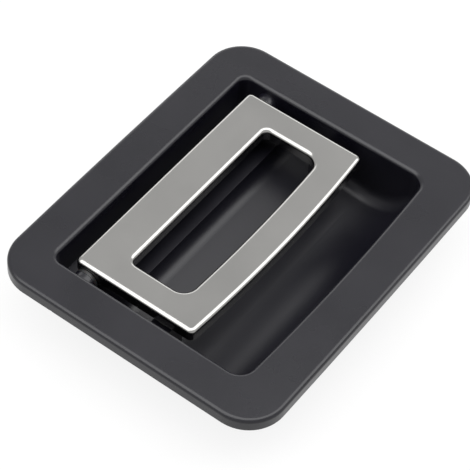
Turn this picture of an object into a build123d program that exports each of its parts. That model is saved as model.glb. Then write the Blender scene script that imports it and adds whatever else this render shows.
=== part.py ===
from build123d import *
import os
from math import acos, asin, atan, atan2, cos, degrees, hypot, pi, radians, sin, tan

# Recessed pull handle: a black die-cast housing let into a panel, with a spring-closed chrome
# pull frame that lies flush in it. Millimetres.
# Origin: centre of the four mounting studs, on the plane where the gasket meets the panel.
# +X runs along the handle, +Y towards the hinge, +Z out of the panel towards the hand.

# ---- Flange: the rounded plate that covers the edge of the panel's cut-out ----
plate_length = 120.0
plate_width = 96.9
plate_side_bow = 0.35          # how far the long sides bulge outwards at their middle
plate_corner_radius = 12.5
flange_edge_height = 4.3
flange_skin = 2.8              # metal left above the gasket's channel
rim_width = 1.5                # the lip that hides the gasket's edge
plate_edge_fillet = 1.2

# ---- Recess and pan ----
side_border = 13.1             # flange left on each short side
hinge_border = 13.25           # flange left on the hinge side
front_border = 13.85           # flange left in front of the finger groove, at its middle
recess_front_bow = 1.3         # the front edge of the recess is arched outwards
recess_front_corner = 5.0
recess_hinge_corner = 3.0
lip_fillet = 1.5
pan_depth = 20.7
pan_wall = 2.5
wall_draft = 1.5               # degrees, so that the casting leaves its die
trough_overrun = 0.6           # how far the trough's round starts behind the front wall
trough_end_fillet = 4.0        # round between the trough and the front and end walls
pan_outer_fillet = 5.0         # the same round on the outside of the casting
step_height = 5.03             # from the end of the climbing floor up to the hinge shelf
step_fillet = 4.5              # round where the floor meets the step
step_set_back = 1.8            # the step stands this far in front of the slot's hinge side

# ---- Pull frame ----
pull_end_gap = 3.7             # between each end of the pull and the recess
pull_hinge_gap = 5.0           # between the pull's hinge edge and the recess
pull_width = 44.9              # hinge edge to the middle of the front edge
pull_front_bow = 1.8
pull_thickness = 4.5
pull_sink = 0.7                # the pull lies this far below the flange's top
pull_corner_radius = 2.0
pull_top_fillet = 1.5
pull_bottom_fillet = 0.6
hinge_bar = 13.4               # widths of the frame round the finger slot
front_bar = 10.6
end_bar = 9.8
slot_front_bow = 1.0
slot_front_corner = 4.5
slot_hinge_corner = 2.0

# ---- Hinge ----
heel_length = 5.0              # from the hinge axis back to the pull's hinge edge
axis_below_pull_top = 5.5
stop_clearance = 0.3           # heel to shelf when the pull stands fully open
pin_radius = 2.0
housing_bore_clearance = 0.03
knuckle_bore_clearance = 0.06
knuckle_radius = 4.0
knuckle_length = 10.0
knuckle_inset = 0.4            # knuckle's end inside the pull's end
pin_end_inset = 0.3            # pin's end inside the pan's outer face
pin_chamfer = 0.4
pocket_skin = 2.0              # metal left above the pocket under the hinge bar
heel_wall = 1.4
pocket_reach = 4.7             # from the hinge axis to the pocket's front wall
pocket_corner_radius = 0.5
lug_half_length = 4.0
lug_radius = 3.2
lug_notch_clearance = 1.2
end_boss_radius = 3.8
side_washer_thickness = 1.0
side_clearance = 0.1           # on each side of the side washers
clip_thickness = 0.7
clip_radius = 3.2
clip_opening = 2.8
clip_side_gap = 0.2            # between the clip and the knuckle
clip_groove_depth = 0.35
clip_fit = 0.05

# ---- Return springs ----
wire_diameter = 0.8
coil_radius = 2.7              # axis to wire centre
coil_pitch = 0.9
coil_turns = 6
spring_side_gap = 0.9          # between the centre lug and the first coil
tang_bend_radius = 0.6
tang_length = 2.0              # how far the tang reaches into the lug
tang_hole_clearance = 0.1
leg_overrun = 1.2              # spring leg past the inside of the heel wall
leg_clearance = 0.05

# ---- Rest buffers: rubber buttons under the ends of the pull ----
buffer_head_radius = 2.5
buffer_head_height = 1.9
buffer_stem_radius = 1.2
buffer_stem_length = 3.0
buffer_stem_clearance = 0.05
buffer_clearance = 0.1
buffer_edge_fillet = 0.6
buffer_end_inset = 3.5         # from the pull's end to the buffer's centre
ledge_margin = 0.8             # ledge left round the buffer's head
buffer_y = -1.5

# ---- Gasket ----
gasket_thickness = 2.0
gasket_side_clearance = 0.2

# ---- Mounting studs, M4, with their washers and nuts set for a 2 mm panel ----
stud_shank_radius = 2.0
stud_thread_radius = 1.8       # half-way down the thread
stud_end_inset = 10.0          # from the plate's short sides
stud_side_inset = 8.75         # from the plate's long sides
stud_boss_radius = 3.0
stud_cover = 1.2               # metal between the stud's root and the flange's top
stud_reach = 6.4               # behind the panel face
stud_hole_clearance = 0.03
stud_chamfer = 0.5
panel_thickness = 2.0
washer_gap = 0.2               # between the washer and such a panel
washer_radius = 4.0
washer_hole_radius = 2.15
washer_thickness = 0.5
nut_across_flats = 7.0
nut_thickness = 2.2
nut_chamfer = 0.35
nut_turn = 2.0                 # degrees

# ---- Levels and places worked out from the sizes above ----
panel_face = 0.0
channel_top = panel_face + gasket_thickness
flange_top = channel_top + flange_skin
flange_bottom = flange_top - flange_edge_height
pan_floor = flange_top - pan_depth
pull_top = flange_top - pull_sink
pull_bottom = pull_top - pull_thickness
hinge_z = pull_top - axis_below_pull_top
shelf_z = hinge_z - heel_length - stop_clearance
pocket_top = pull_top - pocket_skin

recess_half = plate_length / 2 - side_border
recess_back = plate_width / 2 - hinge_border
recess_front = -plate_width / 2 + front_border
pull_half = recess_half - pull_end_gap
pull_back = recess_back - pull_hinge_gap
pull_front = pull_back - pull_width
slot_back = pull_back - hinge_bar
slot_front = pull_front + front_bar
slot_half = pull_half - end_bar
hinge_y = pull_back - heel_length
heel_inside = pull_back - heel_wall

trough_radius = pan_depth - lip_fillet
trough_y = recess_front - trough_overrun + trough_radius
trough_z = pan_floor + trough_radius
step_y = slot_back - step_set_back
floor_end = (step_y, shelf_z - step_height)
floor_run = step_y - trough_y
floor_drop = trough_z - floor_end[1]
# The floor climbs to the step as the tangent to the trough's round.
slope = asin(trough_radius / hypot(floor_run, floor_drop)) - atan2(floor_drop, floor_run)
floor_start = (trough_y + trough_radius * sin(slope), trough_z - trough_radius * cos(slope))

knuckle_outer = pull_half - knuckle_inset
knuckle_inner = knuckle_outer - knuckle_length
side_washer_x = pull_half + side_clearance
boss_face = side_washer_x + side_washer_thickness + side_clearance
clip_x = knuckle_inner - clip_side_gap - clip_thickness
stud_x = plate_length / 2 - stud_end_inset
stud_y = plate_width / 2 - stud_side_inset
washer_top = panel_face - panel_thickness - washer_gap
shank_end = panel_face - panel_thickness
helix_angle = atan(coil_pitch / (2 * pi * coil_radius))
buffer_x = pull_half - buffer_end_inset
ledge_top = pull_bottom - buffer_clearance - buffer_head_height
ledge_half = buffer_head_radius + ledge_margin


def arched_outline(half_length, front, back, front_bow, back_bow, front_corner, back_corner):
    """A rectangle whose front and back may be arched outwards, with its corners rounded."""
    front_end = front + front_bow
    back_end = back - back_bow
    with BuildSketch() as outline:
        with BuildLine():
            ThreePointArc((-half_length, front_end), (0, front), (half_length, front_end))
            Line((half_length, front_end), (half_length, back_end))
            if back_bow > 0:
                ThreePointArc((half_length, back_end), (0, back), (-half_length, back_end))
            else:
                Line((half_length, back_end), (-half_length, back_end))
            Line((-half_length, back_end), (-half_length, front_end))
        make_face()
        corners = outline.vertices().group_by(Axis.Y)
        fillet(corners[0], front_corner)
        corners = [v for v in outline.vertices() if abs(v.Y - back_end) < 0.001]
        fillet(corners, back_corner)
    return outline.sketch


def plate_outline():
    half_width = plate_width / 2
    return arched_outline(plate_length / 2, -half_width, half_width, plate_side_bow,
                          plate_side_bow, plate_corner_radius, plate_corner_radius)


def recess_outline():
    return arched_outline(recess_half, recess_front, recess_back, recess_front_bow, 0,
                          recess_front_corner, recess_hinge_corner)


def pan_profile():
    """The pan cut across its length: finger trough, climbing floor, step and hinge shelf."""
    wall_y = trough_y - trough_radius
    trough_mid = radians(225) + slope / 2
    above = flange_top + pan_wall
    behind = recess_back + pan_wall
    with BuildSketch(Plane.YZ) as profile:
        with BuildLine():
            Line((wall_y, above), (wall_y, trough_z))
            ThreePointArc(
                (wall_y, trough_z),
                (trough_y + trough_radius * cos(trough_mid), trough_z + trough_radius * sin(trough_mid)),
                floor_start,
            )
            Line(floor_start, floor_end)
            Line(floor_end, (step_y, shelf_z))
            Line((step_y, shelf_z), (behind, shelf_z))
            Line((behind, shelf_z), (behind, above))
            Line((behind, above), (wall_y, above))
        make_face()
        step_corners = [v for v in profile.vertices() if abs(v.X - step_y) < 0.001]
        fillet(min(step_corners, key=lambda v: v.Y), step_fillet)
    return profile.sketch


def pan_shape(growth, bottom_fillet):
    """The pan's hollow, or with a growth of one wall, the outside of the pan."""
    outline = recess_outline()
    profile = pan_profile()
    if growth > 0:
        outline = offset(outline, growth)
        profile = offset(profile, growth)
    height = pan_depth + growth + lip_fillet
    prism = extrude(Pos(0, 0, flange_top) * outline, amount=height, dir=(0, 0, -1), taper=wall_draft)
    slab = extrude(profile, amount=recess_half + growth + pan_wall, both=True)
    pan = prism & slab
    shelf_level = shelf_z - growth
    low = [e for e in pan.edges() if e.center().Z < flange_top - lip_fillet]
    floor_edges = [e for e in low if runs_round_the_floor(e, shelf_level)]
    return fillet(floor_edges, bottom_fillet)


def runs_round_the_floor(edge, shelf_level):
    """True for the edges where the trough and the floor meet the front and end walls."""
    start = edge @ 0
    end = edge @ 1
    at_end_wall = min(abs(start.X), abs(end.X)) > recess_half - recess_front_corner
    across = abs(start.Y - end.Y) > pan_wall / 2
    below_shelf = edge.center().Z < shelf_level - 0.001
    at_front = max(start.Y, end.Y) < recess_front + recess_front_corner
    along = abs(start.X - end.X) > recess_front_corner / 2
    return (at_end_wall and across and below_shelf) or (at_front and along)


def lying_along_x(radius, x_from, x_to, y, z):
    """A round bar along X between two places."""
    bar = Cylinder(radius, abs(x_to - x_from), rotation=(0, 90, 0))
    return Pos((x_from + x_to) / 2, y, z) * bar


def block(x_range, y_range, z_range):
    """A plain block between three pairs of limits."""
    size = [high - low for low, high in (x_range, y_range, z_range)]
    middle = [(high + low) / 2 for low, high in (x_range, y_range, z_range)]
    return Pos(*middle) * Box(*size)


def both_sides(shape):
    """A shape and its mirror image across the handle's middle."""
    return [shape, mirror(shape, Plane.YZ)]


stud_places = {
    "front_left": (-stud_x, -stud_y),
    "front_right": (stud_x, -stud_y),
    "hinge_left": (-stud_x, stud_y),
    "hinge_right": (stud_x, stud_y),
}


# ---- Housing: flange, pan, hinge lug and bosses, rest ledges and stud bosses in one casting ----
def make_housing():
    hollow = pan_shape(0, trough_end_fillet)
    pan = pan_shape(pan_wall, pan_outer_fillet)

    outline = plate_outline()
    flange = extrude(Pos(0, 0, flange_bottom) * outline, amount=flange_edge_height)
    top_edges = flange.faces().sort_by(Axis.Z)[-1].edges()
    flange = fillet(top_edges, plate_edge_fillet)
    channel = extrude(
        Pos(0, 0, flange_bottom) * offset(outline, -rim_width), amount=channel_top - flange_bottom
    )
    casting = flange - channel + pan
    for x, y in stud_places.values():
        boss = Pos(x, y, flange_bottom) * Cylinder(
            stud_boss_radius, flange_top - flange_bottom - plate_edge_fillet,
            align=(Align.CENTER, Align.CENTER, Align.MIN),
        )
        casting += boss

    casting -= hollow
    lip = [
        e for e in casting.faces().sort_by(Axis.Z)[-1].edges()
        if abs(e.center().X) < recess_half + 0.1 and abs(e.center().Y) < recess_back + 0.1
    ]
    casting = fillet(lip, lip_fillet)

    lug = lying_along_x(lug_radius, -lug_half_length, lug_half_length, hinge_y, hinge_z)
    lug += block(
        (-lug_half_length, lug_half_length),
        (hinge_y - lug_radius, hinge_y + lug_radius),
        (shelf_z - pan_wall / 2, hinge_z),
    )
    casting += lug
    for end_boss in both_sides(
        lying_along_x(end_boss_radius, boss_face, recess_half + pan_wall, hinge_y, hinge_z)
    ):
        casting += end_boss & pan
    for ledge in both_sides(
        block(
            (buffer_x - ledge_half, recess_half + pan_wall),
            (buffer_y - ledge_half, buffer_y + ledge_half),
            (pan_floor - pan_wall, ledge_top),
        )
    ):
        casting += ledge & pan

    casting -= lying_along_x(
        pin_radius + housing_bore_clearance, -plate_length / 2, plate_length / 2, hinge_y, hinge_z
    )
    casting -= lying_along_x(
        wire_diameter / 2 + tang_hole_clearance, -lug_half_length, lug_half_length,
        hinge_y + tang_bend_radius * (1 - sin(helix_angle)), hinge_z - coil_radius,
    )
    stem_hole = Pos(buffer_x, buffer_y, ledge_top) * Cylinder(
        buffer_stem_radius + buffer_stem_clearance, buffer_stem_length + buffer_clearance,
        align=(Align.CENTER, Align.CENTER, Align.MAX),
    )
    for hole in both_sides(stem_hole):
        casting -= hole
    for x, y in stud_places.values():
        casting -= Pos(x, y, flange_bottom) * Cylinder(
            stud_thread_radius + stud_hole_clearance, flange_top - stud_cover - flange_bottom,
            align=(Align.CENTER, Align.CENTER, Align.MIN),
        )
    return casting


# ---- Gasket: a die-cut rubber ring in the flange's channel, holed for the stud bosses ----
def make_gasket():
    outer = offset(plate_outline(), -rim_width - gasket_side_clearance)
    inner = offset(recess_outline(), pan_wall + gasket_side_clearance)
    ring = outer - inner
    for x, y in stud_places.values():
        ring -= Pos(x, y) * Circle(stud_boss_radius + gasket_side_clearance)
    return extrude(Pos(0, 0, panel_face) * ring, amount=gasket_thickness)


# ---- Pull frame: one chrome-plated casting with a finger slot and two knuckles ----
def make_pull():
    outline = arched_outline(pull_half, pull_front, pull_back, pull_front_bow, 0,
                             pull_corner_radius, pull_corner_radius)
    slot = arched_outline(slot_half, slot_front, slot_back, slot_front_bow, 0,
                          slot_front_corner, slot_hinge_corner)
    frame = extrude(Pos(0, 0, pull_bottom) * (outline - slot), amount=pull_thickness)
    faces = frame.faces().sort_by(Axis.Z)
    frame = fillet(faces[-1].edges(), pull_top_fillet)
    faces = frame.faces().sort_by(Axis.Z)
    frame = fillet(faces[0].edges(), pull_bottom_fillet)

    pocket_front = hinge_y - pocket_reach
    pocket_plan = Pos(0, (pocket_front + heel_inside) / 2, pull_bottom) * RectangleRounded(
        2 * knuckle_inner, heel_inside - pocket_front, pocket_corner_radius
    )
    frame -= extrude(pocket_plan, amount=pocket_top - pull_bottom)
    notch_half = lug_half_length + lug_notch_clearance
    frame -= block((-notch_half, notch_half), (hinge_y, pull_back + heel_wall), (pull_bottom, pocket_top))

    knuckle = lying_along_x(knuckle_radius, knuckle_inner, knuckle_outer, hinge_y, hinge_z)
    knuckle += block(
        (knuckle_inner, knuckle_outer),
        (hinge_y - knuckle_radius, hinge_y + knuckle_radius),
        (hinge_z, pull_top - pull_thickness / 2),
    )
    for side in both_sides(knuckle):
        frame += side
    frame -= lying_along_x(
        pin_radius + knuckle_bore_clearance, -pull_half, pull_half, hinge_y, hinge_z
    )
    return frame


# ---- Hinge pin, its retaining clips and the side washers ----
def make_pin():
    half = recess_half + pan_wall - pin_end_inset - (flange_top - hinge_z) * tan(radians(wall_draft))
    pin = lying_along_x(pin_radius, -half, half, hinge_y, hinge_z)
    pin = chamfer(pin.edges(), pin_chamfer)
    groove = lying_along_x(pin_radius * 2, clip_x - clip_fit, clip_x + clip_thickness + clip_fit,
                           hinge_y, hinge_z)
    groove -= lying_along_x(pin_radius - clip_groove_depth, 0, half, hinge_y, hinge_z)
    for cut in both_sides(groove):
        pin -= cut
    return pin


def make_clip():
    ring = lying_along_x(clip_radius, clip_x, clip_x + clip_thickness, hinge_y, hinge_z)
    ring -= lying_along_x(pin_radius - clip_groove_depth + clip_fit, 0, pull_half, hinge_y, hinge_z)
    mouth = block(
        (clip_x - 1, clip_x + clip_thickness + 1),
        (hinge_y - clip_opening / 2, hinge_y + clip_opening / 2),
        (hinge_z - 2 * clip_radius, hinge_z),
    )
    return ring - mouth


def make_side_washer():
    inner = side_washer_x
    outer = side_washer_x + side_washer_thickness
    ring = lying_along_x(end_boss_radius, inner, outer, hinge_y, hinge_z)
    return ring - lying_along_x(pin_radius + knuckle_bore_clearance, 0, outer + 1, hinge_y, hinge_z)


# ---- Return spring: a coil round the pin, its tang in the lug and its leg under the heel ----
def make_spring():
    corner_y = heel_inside - hinge_y
    corner_z = pull_bottom - hinge_z - 2 * leg_clearance - wire_diameter / 2 / cos(pi / 4)
    reach = hypot(corner_y, corner_z)
    leave_angle = degrees(atan2(corner_z, corner_y)) + degrees(acos(coil_radius / reach))
    turns = coil_turns + ((-90 - leave_angle) % 360) / 360
    whole_turns = [
        Pos(0, 0, turn * coil_pitch) * Helix(coil_pitch, coil_pitch, coil_radius, lefthand=True)
        for turn in range(coil_turns)
    ]
    last_turn = Helix(coil_pitch, (turns - coil_turns) * coil_pitch, coil_radius, lefthand=True)
    wound = whole_turns + [Pos(0, 0, coil_turns * coil_pitch) * last_turn]
    coil_start = Plane(
        origin=(lug_half_length + spring_side_gap, hinge_y, hinge_z), x_dir=(0, 0, -1), z_dir=(1, 0, 0)
    )
    coil = Wire([coil_start * turn for turn in wound])

    back = -(coil % 0)
    into_lug = Vector(-1, 0, 0)
    bend_plane = Plane(origin=coil @ 0, x_dir=back, z_dir=back.cross(into_lug))
    bend = bend_plane * JernArc((0, 0), (1, 0), tang_bend_radius, 90 - degrees(helix_angle))
    tang = Line(bend @ 1, (lug_half_length - tang_length, (bend @ 1).Y, (bend @ 1).Z))
    leg_length = (corner_y + leg_overrun - ((coil @ 1).Y - hinge_y)) / (coil % 1).Y
    leg = Line(coil @ 1, (coil @ 1) + (coil % 1) * leg_length)
    path = Wire([tang, bend, *coil.edges(), leg])
    section = Plane(origin=path @ 0, z_dir=path % 0) * Circle(wire_diameter / 2)
    return sweep(section, path=path)


# ---- Rest buffer: a rubber button, its stem pressed into the ledge ----
def make_buffer():
    head = Cylinder(buffer_head_radius, buffer_head_height, align=(Align.CENTER, Align.CENTER, Align.MIN))
    head = fillet(head.faces().sort_by(Axis.Z)[-1].edges(), buffer_edge_fillet)
    stem = Cylinder(buffer_stem_radius, buffer_stem_length, align=(Align.CENTER, Align.CENTER, Align.MAX))
    return Pos(buffer_x, buffer_y, ledge_top) * (head + stem)


# ---- Mounting studs with their washers and nuts ----
def make_stud():
    root = flange_top - stud_cover - 2 * stud_hole_clearance
    tip = panel_face - stud_reach
    with BuildSketch(Plane.XZ) as half_section:
        with BuildLine():
            Polyline(
                (0, root),
                (stud_thread_radius, root),
                (stud_thread_radius, flange_bottom),
                (stud_shank_radius, flange_bottom),
                (stud_shank_radius, shank_end),
                (stud_thread_radius, shank_end),
                (stud_thread_radius, tip + stud_chamfer),
                (stud_thread_radius - stud_chamfer, tip),
                (0, tip),
                close=True,
            )
        make_face()
    return revolve(half_section.sketch, axis=Axis.Z)


def make_stud_washer():
    ring = Circle(washer_radius) - Circle(washer_hole_radius)
    return extrude(Pos(0, 0, washer_top) * ring, amount=washer_thickness, dir=(0, 0, -1))


def make_stud_nut():
    top = washer_top - washer_thickness
    hexagon = Rot(0, 0, nut_turn) * RegularPolygon(nut_across_flats / 2, 6, major_radius=False)
    blank = extrude(Pos(0, 0, top) * hexagon, amount=nut_thickness, dir=(0, 0, -1))
    corner_radius = nut_across_flats / 2 / cos(pi / 6)
    turned = Cylinder(corner_radius, nut_thickness, align=(Align.CENTER, Align.CENTER, Align.MAX))
    turned = Pos(0, 0, top) * chamfer(turned.edges().filter_by(GeomType.CIRCLE), nut_chamfer)
    bore = Cylinder(stud_thread_radius + stud_hole_clearance, plate_width)
    return (blank & turned) - bore


pieces = {
    "housing": make_housing(),
    "panel_gasket": make_gasket(),
    "pull_frame": make_pull(),
    "hinge_pin": make_pin(),
}
handed_pieces = {
    "pin_clip": make_clip(),
    "side_washer": make_side_washer(),
    "return_spring": make_spring(),
    "rest_buffer": make_buffer(),
}
for name, shape in handed_pieces.items():
    right, left = both_sides(shape)
    pieces[name + "_right"] = right
    pieces[name + "_left"] = left
stud_set = {
    "mounting_stud": make_stud(),
    "stud_washer": make_stud_washer(),
    "stud_nut": make_stud_nut(),
}
for place, (x, y) in stud_places.items():
    for name, shape in stud_set.items():
        pieces[name + "_" + place] = Pos(x, y, 0) * shape

os.makedirs("parts", exist_ok=True)
for name, shape in pieces.items():
    export_step(shape, "parts/" + name + ".step")
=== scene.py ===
import bmesh
import bpy
from math import cos, pi, radians, sin
from mathutils import Matrix, Vector


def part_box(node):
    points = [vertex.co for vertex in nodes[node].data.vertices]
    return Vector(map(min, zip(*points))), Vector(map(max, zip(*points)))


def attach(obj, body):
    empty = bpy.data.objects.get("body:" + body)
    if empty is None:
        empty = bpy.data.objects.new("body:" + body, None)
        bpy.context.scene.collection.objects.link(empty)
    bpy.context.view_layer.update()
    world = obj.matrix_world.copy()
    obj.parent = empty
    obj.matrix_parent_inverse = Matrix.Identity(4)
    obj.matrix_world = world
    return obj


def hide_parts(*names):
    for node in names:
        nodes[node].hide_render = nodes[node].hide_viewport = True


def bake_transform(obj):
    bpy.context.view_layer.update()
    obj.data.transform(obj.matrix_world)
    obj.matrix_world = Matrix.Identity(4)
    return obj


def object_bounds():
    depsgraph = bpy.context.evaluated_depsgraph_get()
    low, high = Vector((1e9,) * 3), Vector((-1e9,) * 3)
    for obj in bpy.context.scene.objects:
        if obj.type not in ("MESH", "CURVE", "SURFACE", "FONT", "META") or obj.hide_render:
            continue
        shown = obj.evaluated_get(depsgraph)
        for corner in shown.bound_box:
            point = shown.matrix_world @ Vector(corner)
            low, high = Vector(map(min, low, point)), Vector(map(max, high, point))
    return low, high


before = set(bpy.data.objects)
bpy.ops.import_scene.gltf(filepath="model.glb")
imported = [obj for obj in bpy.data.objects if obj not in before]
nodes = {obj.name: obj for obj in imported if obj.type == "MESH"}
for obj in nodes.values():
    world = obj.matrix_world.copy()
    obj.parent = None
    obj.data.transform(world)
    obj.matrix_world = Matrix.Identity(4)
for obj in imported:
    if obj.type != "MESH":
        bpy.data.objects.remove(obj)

cad_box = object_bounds()

# ---- Housing ----
# The die-cast zinc flange and pan, all one casting. It is sprayed satin black and baked, which
# leaves a fine orange peel, with finer specks over it.
peel_size = 0.0009
speck_size = 0.00025
pan_level = -0.007
flange_level = 0.002


def new_material(name):
    """A node material with its Principled shader and its object coordinates."""
    material = bpy.data.materials.new(name)
    material.use_nodes = True
    tree = material.node_tree
    tree.nodes.clear()
    output = tree.nodes.new("ShaderNodeOutputMaterial")
    shader = tree.nodes.new("ShaderNodeBsdfPrincipled")
    place = tree.nodes.new("ShaderNodeTexCoord")
    tree.links.new(shader.outputs["BSDF"], output.inputs["Surface"])
    return material, tree, shader, place.outputs["Object"]


def mottling(tree, place, size, detail=3.0, stretch=(1, 1, 1)):
    """Random mottling whose patches are about one size across, in metres."""
    mapping = tree.nodes.new("ShaderNodeMapping")
    mapping.inputs["Scale"].default_value = [s / size for s in stretch]
    texture = tree.nodes.new("ShaderNodeTexNoise")
    texture.inputs["Scale"].default_value = 1.0
    texture.inputs["Detail"].default_value = detail
    tree.links.new(place, mapping.inputs["Vector"])
    tree.links.new(mapping.outputs["Vector"], texture.inputs["Vector"])
    return texture.outputs["Fac"]


def between(tree, value, low, high, start=0.3, end=0.7):
    """A value spread over a range of numbers."""
    spread = tree.nodes.new("ShaderNodeMapRange")
    spread.inputs["From Min"].default_value = start
    spread.inputs["From Max"].default_value = end
    spread.inputs["To Min"].default_value = low
    spread.inputs["To Max"].default_value = high
    tree.links.new(value, spread.inputs["Value"])
    return spread.outputs["Result"]


def blend_colours(tree, value, first, second):
    """One colour turning into another as a value goes from 0 to 1."""
    mix = tree.nodes.new("ShaderNodeMix")
    mix.data_type = "RGBA"
    mix.inputs["A"].default_value = (*first, 1)
    mix.inputs["B"].default_value = (*second, 1)
    tree.links.new(value, mix.inputs["Factor"])
    return mix.outputs["Result"]


def add_bump(tree, shader, height, distance, strength=1.0, under=None):
    """A relief of a given depth, in metres, laid over an earlier one."""
    bump = tree.nodes.new("ShaderNodeBump")
    bump.inputs["Distance"].default_value = distance
    bump.inputs["Strength"].default_value = strength
    tree.links.new(height, bump.inputs["Height"])
    if under is not None:
        tree.links.new(under, bump.inputs["Normal"])
    tree.links.new(bump.outputs["Normal"], shader.inputs["Normal"])
    return bump.outputs["Normal"]


def dress(node, material):
    """Gives a carried node its finish."""
    solid = nodes[node]
    solid.data.materials.clear()
    solid.data.materials.append(material)


def satin_black_paint():
    material, tree, shader, place = new_material("satin_black_paint")
    patches = mottling(tree, place, 0.020)
    peel = mottling(tree, place, peel_size, detail=2.0)
    specks = mottling(tree, place, speck_size, detail=1.0)
    colour = blend_colours(tree, between(tree, patches, 0, 1),
                           (0.0036, 0.0034, 0.0066), (0.0056, 0.0053, 0.0090))
    tree.links.new(colour, shader.inputs["Base Color"])
    # The spray lands drier and rougher down in the pan than on the flange.
    heights = tree.nodes.new("ShaderNodeSeparateXYZ")
    tree.links.new(place, heights.inputs["Vector"])
    dryness = between(tree, heights.outputs["Z"], 0.13, 0.0, start=pan_level, end=flange_level)
    roughness = tree.nodes.new("ShaderNodeMath")
    roughness.operation = "ADD"
    tree.links.new(dryness, roughness.inputs[0])
    tree.links.new(between(tree, patches, 0.26, 0.30), roughness.inputs[1])
    tree.links.new(roughness.outputs[0], shader.inputs["Roughness"])
    shader.inputs["IOR"].default_value = 1.45
    under = add_bump(tree, shader, peel, 0.000012)
    add_bump(tree, shader, specks, 0.000005, under=under)
    return material


dress("housing", satin_black_paint())

# ---- Pull frame ----
# The zinc casting that the fingers lift. It is blasted before it is plated, so the chrome is
# satin: grey and soft on its flats, with a bright line along every rounded edge.


def satin_chrome():
    material, tree, shader, place = new_material("satin_chrome")
    clouds = mottling(tree, place, 0.030)
    grain = mottling(tree, place, 0.00020, detail=2.0)
    colour = blend_colours(tree, between(tree, clouds, 0, 1),
                           (0.290, 0.287, 0.278), (0.325, 0.321, 0.311))
    tree.links.new(colour, shader.inputs["Base Color"])
    shader.inputs["Metallic"].default_value = 1.0
    roughness = between(tree, clouds, 0.15, 0.19)
    tree.links.new(roughness, shader.inputs["Roughness"])
    add_bump(tree, shader, grain, 0.0000025)
    return material


dress("pull_frame", satin_chrome())

# ---- Hinge pin and clips ----
# A ground pin with a black oxide finish, blued spring-steel clips snapped in its grooves, and
# bright drawn wire for the springs. Their marks run the way that each was ground or drawn.


def worked_steel(name, dark, light, rough_low, rough_high, mark_size, stretch):
    material, tree, shader, place = new_material(name)
    marks = mottling(tree, place, mark_size, detail=4.0, stretch=stretch)
    stains = mottling(tree, place, 0.004)
    colour = blend_colours(tree, between(tree, stains, 0, 1), dark, light)
    tree.links.new(colour, shader.inputs["Base Color"])
    shader.inputs["Metallic"].default_value = 1.0
    roughness = between(tree, marks, rough_low, rough_high)
    tree.links.new(roughness, shader.inputs["Roughness"])
    add_bump(tree, shader, marks, 0.000004)
    return material


dress("hinge_pin", worked_steel("black_oxide_steel", (0.055, 0.055, 0.060), (0.085, 0.085, 0.090),
                                0.24, 0.38, 0.0006, (4, 1, 1)))
blued_steel = worked_steel("blued_steel", (0.10, 0.10, 0.12), (0.16, 0.16, 0.18),
                           0.28, 0.42, 0.0005, (1, 1, 1))
drawn_wire = worked_steel("drawn_wire", (0.40, 0.40, 0.41), (0.52, 0.52, 0.53),
                          0.20, 0.36, 0.0004, (5, 1, 1))
for side in ("left", "right"):
    dress("pin_clip_" + side, blued_steel)

# ---- Return springs ----
# Each spring's tang sits in the housing's lug and its leg under the pull's heel. Each is the CAD spring
# with its doubled points merged and smooth shading.
merge_distance = 1e-7


def wound_spring(side):
    node = "return_spring_" + side
    mesh = bmesh.new()
    mesh.from_mesh(nodes[node].data)
    bmesh.ops.remove_doubles(mesh, verts=mesh.verts, dist=merge_distance)
    data = bpy.data.meshes.new("wound_spring_" + side)
    mesh.to_mesh(data)
    mesh.free()
    data.shade_smooth()
    spring = bpy.data.objects.new("wound_spring_" + side, data)
    bpy.context.scene.collection.objects.link(spring)
    data.materials.append(drawn_wire)
    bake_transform(spring)
    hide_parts(node)


for side in ("left", "right"):
    wound_spring(side)

# ---- Side washers ----
# Turned black nylon washers that keep the chrome off the painted bosses. They are slightly
# waxy, with fine turning marks.


def turned_nylon():
    material, tree, shader, place = new_material("turned_nylon")
    rings = mottling(tree, place, 0.0004, detail=2.0, stretch=(4, 1, 1))
    tint = mottling(tree, place, 0.003)
    colour = blend_colours(tree, between(tree, tint, 0, 1),
                           (0.012, 0.012, 0.013), (0.020, 0.020, 0.021))
    tree.links.new(colour, shader.inputs["Base Color"])
    tree.links.new(between(tree, rings, 0.35, 0.5), shader.inputs["Roughness"])
    shader.inputs["Subsurface Weight"].default_value = 0.15
    shader.inputs["Subsurface Scale"].default_value = 0.001
    add_bump(tree, shader, rings, 0.000008)
    return material


nylon = turned_nylon()
for side in ("left", "right"):
    dress("side_washer_" + side, nylon)

# ---- Rubber parts ----
# The gasket is die-cut from cellular rubber sheet, and the two rest buffers are moulded in
# solid rubber. Both are dull black, the sheet with its open cells, the buffers with a grain.


def black_rubber(name, cell_size, cell_depth, dark, light):
    material, tree, shader, place = new_material(name)
    dust = mottling(tree, place, 0.008)
    cells = tree.nodes.new("ShaderNodeTexVoronoi")
    cells.inputs["Scale"].default_value = 1 / cell_size
    tree.links.new(place, cells.inputs["Vector"])
    colour = blend_colours(tree, between(tree, dust, 0, 1), dark, light)
    tree.links.new(colour, shader.inputs["Base Color"])
    tree.links.new(between(tree, dust, 0.65, 0.85), shader.inputs["Roughness"])
    add_bump(tree, shader, cells.outputs["Distance"], cell_depth)
    return material


dress("panel_gasket", black_rubber("cellular_rubber", 0.0005, 0.00012,
                                   (0.016, 0.016, 0.016), (0.030, 0.029, 0.028)))
moulded_rubber = black_rubber("moulded_rubber", 0.00025, 0.00002,
                              (0.012, 0.012, 0.012), (0.020, 0.020, 0.020))
for side in ("left", "right"):
    dress("rest_buffer_" + side, moulded_rubber)

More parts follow.
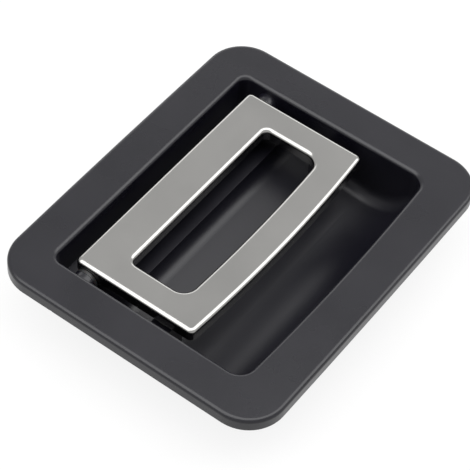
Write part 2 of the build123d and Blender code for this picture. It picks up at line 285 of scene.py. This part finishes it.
# ---- Mounting studs, washers and nuts ----
# Rolled M4 studs of zinc-plated steel, screwed into the casting's bosses, each with a plain
# washer and a thin nut. The thread is turned here as real ridges over the plain CAD studs.
thread_pitch = 0.0007
thread_crest = 0.00198
thread_root = 0.00158
ridge = ((0.12, thread_root), (0.45, thread_crest), (0.58, thread_crest), (0.90, thread_root))
shank_radius = 0.00200
shank_length = 0.0025
flange_edge = 0.0043
point_length = 0.0005
point_slope = 0.0003
turn_steps = 40


def zinc_plate():
    material, tree, shader, place = new_material("zinc_plate")
    spangle = mottling(tree, place, 0.0012, detail=4.0)
    stains = mottling(tree, place, 0.006)
    colour = blend_colours(tree, between(tree, stains, 0, 1),
                           (0.44, 0.45, 0.47), (0.58, 0.59, 0.61))
    tree.links.new(colour, shader.inputs["Base Color"])
    shader.inputs["Metallic"].default_value = 1.0
    tree.links.new(between(tree, spangle, 0.26, 0.44), shader.inputs["Roughness"])
    add_bump(tree, shader, spangle, 0.000006)
    return material


def threaded_stud(node):
    """A stud spun from its half outline: the end in the boss, plain shank, ridges and point."""
    low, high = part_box(node)
    axis = (low + high) / 2
    shank_top = cad_box[1][2] - flange_edge
    shank_end = shank_top - shank_length
    point_top = low.z + point_length
    outline = [(0, high.z), (thread_root, high.z), (thread_root, shank_top),
               (shank_radius, shank_top), (shank_radius, shank_end)]
    height = shank_end
    while height - thread_pitch > point_top:
        outline += [(radius, height - thread_pitch * share) for share, radius in ridge]
        height -= thread_pitch
    outline += [(thread_root, low.z + point_length / 3), (thread_root - point_slope, low.z), (0, low.z)]
    mesh = bmesh.new()
    corners = [mesh.verts.new((axis.x + radius, axis.y, level)) for radius, level in outline]
    edges = [mesh.edges.new(pair) for pair in zip(corners, corners[1:])]
    bmesh.ops.spin(mesh, geom=corners + edges, cent=(axis.x, axis.y, 0), axis=(0, 0, 1),
                   angle=2 * pi, steps=turn_steps, use_merge=True)
    bmesh.ops.remove_doubles(mesh, verts=mesh.verts, dist=merge_distance)
    bmesh.ops.recalc_face_normals(mesh, faces=mesh.faces)
    data = bpy.data.meshes.new("threaded_" + node)
    mesh.to_mesh(data)
    mesh.free()
    data.shade_smooth()
    data.set_sharp_from_angle(angle=radians(28))
    stud = bpy.data.objects.new("threaded_" + node, data)
    bpy.context.scene.collection.objects.link(stud)
    return stud


zinc = zinc_plate()
for place_name in ("front_left", "front_right", "hinge_left", "hinge_right"):
    stud = threaded_stud("mounting_stud_" + place_name)
    stud.data.materials.append(zinc)
    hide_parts("mounting_stud_" + place_name)
    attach(stud, "base")
    dress("stud_washer_" + place_name, zinc)
    dress("stud_nut_" + place_name, zinc)

# ---- Floor ----
# A plain pale sweep under the handle. It stays white where nothing shades it.
floor_level = cad_box[0][2]
floor_gap = 0.0001
floor_half = 3.0
floor_glow = 0.85


def white_floor():
    material, tree, shader, place = new_material("white_floor")
    shader.inputs["Base Color"].default_value = (0.95, 0.95, 0.95, 1)
    shader.inputs["Roughness"].default_value = 0.9
    shader.inputs["Specular IOR Level"].default_value = 0.1
    paths = tree.nodes.new("ShaderNodeLightPath")
    glow = tree.nodes.new("ShaderNodeEmission")
    mix = tree.nodes.new("ShaderNodeMixShader")
    seen = tree.nodes.new("ShaderNodeMath")
    seen.operation = "MAXIMUM"
    share = tree.nodes.new("ShaderNodeMath")
    share.operation = "MULTIPLY"
    share.inputs[1].default_value = floor_glow
    tree.links.new(paths.outputs["Is Camera Ray"], seen.inputs[0])
    tree.links.new(paths.outputs["Is Glossy Ray"], seen.inputs[1])
    tree.links.new(seen.outputs[0], share.inputs[0])
    tree.links.new(share.outputs[0], mix.inputs["Fac"])
    tree.links.new(shader.outputs["BSDF"], mix.inputs[1])
    tree.links.new(glow.outputs["Emission"], mix.inputs[2])
    output = [n for n in tree.nodes if n.type == "OUTPUT_MATERIAL"][0]
    tree.links.new(mix.outputs["Shader"], output.inputs["Surface"])
    return material


sheet = bmesh.new()
bmesh.ops.create_grid(sheet, x_segments=1, y_segments=1, size=floor_half)
bmesh.ops.translate(sheet, verts=sheet.verts, vec=(0, 0, floor_level - floor_gap))
floor_mesh = bpy.data.meshes.new("floor")
sheet.to_mesh(floor_mesh)
sheet.free()
floor = bpy.data.objects.new("floor", floor_mesh)
floor.data.materials.append(white_floor())
bpy.context.scene.collection.objects.link(floor)

# ---- Light ----
# One large soft box overhead, a little towards the near corner, and an even white room.
scene = bpy.context.scene
scene.view_settings.view_transform = "Standard"
world = bpy.data.worlds.new("room")
scene.world = world
world.use_nodes = True
room = world.node_tree
room.nodes.clear()
background = room.nodes.new("ShaderNodeBackground")
room_output = room.nodes.new("ShaderNodeOutputWorld")
paths = room.nodes.new("ShaderNodeLightPath")
seen = room.nodes.new("ShaderNodeMath")
seen.operation = "MAXIMUM"
glassy = room.nodes.new("ShaderNodeMath")
glassy.operation = "MAXIMUM"
level = room.nodes.new("ShaderNodeMapRange")
level.inputs["To Min"].default_value = 0.25
level.inputs["To Max"].default_value = 1.0
background.inputs["Color"].default_value = (1, 1, 1, 1)
room.links.new(paths.outputs["Is Camera Ray"], seen.inputs[0])
room.links.new(paths.outputs["Is Glossy Ray"], seen.inputs[1])
room.links.new(seen.outputs[0], glassy.inputs[0])
room.links.new(paths.outputs["Is Transmission Ray"], glassy.inputs[1])
room.links.new(glassy.outputs[0], level.inputs["Value"])
room.links.new(level.outputs["Result"], background.inputs["Strength"])
room.links.new(background.outputs["Background"], room_output.inputs["Surface"])

soft_box = bpy.data.lights.new("soft_box", "AREA")
soft_box.shape = "RECTANGLE"
soft_box.size = 3.00
soft_box.size_y = 0.66
soft_box.energy = 18.5
lamp = bpy.data.objects.new("soft_box", soft_box)
lamp.location = (-0.03, -0.03, 0.75)
lamp.rotation_euler = (0, 0, radians(-37.6))
scene.collection.objects.link(lamp)

far_card = bpy.data.lights.new("far_card", "AREA")
far_card.shape = "RECTANGLE"
far_card.size = 0.90
far_card.size_y = 0.34
far_card.energy = 1.7
card = bpy.data.objects.new("far_card", far_card)
card.location = (0.72, 0.53, 0.43)
card.rotation_euler = (-card.location).to_track_quat("-Z", "Y").to_euler()
scene.collection.objects.link(card)

# ---- Camera ----
# A long lens, looking down across the near left corner, turned a little about its own axis.
azimuth = radians(-57.91)
elevation = radians(50.58)
roll = radians(5.45)
distance = 0.596
aim_point = Vector((0, 0, cad_box[1][2]))

back = Vector((sin(azimuth) * cos(elevation), -cos(azimuth) * cos(elevation), sin(elevation)))
level_right = (-back).cross(Vector((0, 0, 1))).normalized()
level_up = level_right.cross(-back)
right = cos(roll) * level_right + sin(roll) * level_up
up = -sin(roll) * level_right + cos(roll) * level_up
lens = bpy.data.cameras.new("camera")
lens.sensor_width = 36.0
lens.lens = 153.7
lens.shift_x = -0.0233
lens.shift_y = -0.0345
lens.clip_start = 0.01
camera = bpy.data.objects.new("camera", lens)
camera.matrix_world = Matrix.Translation(aim_point + back * distance) @ Matrix(
    (right, up, back)).transposed().to_4x4()
scene.collection.objects.link(camera)
scene.camera = camera
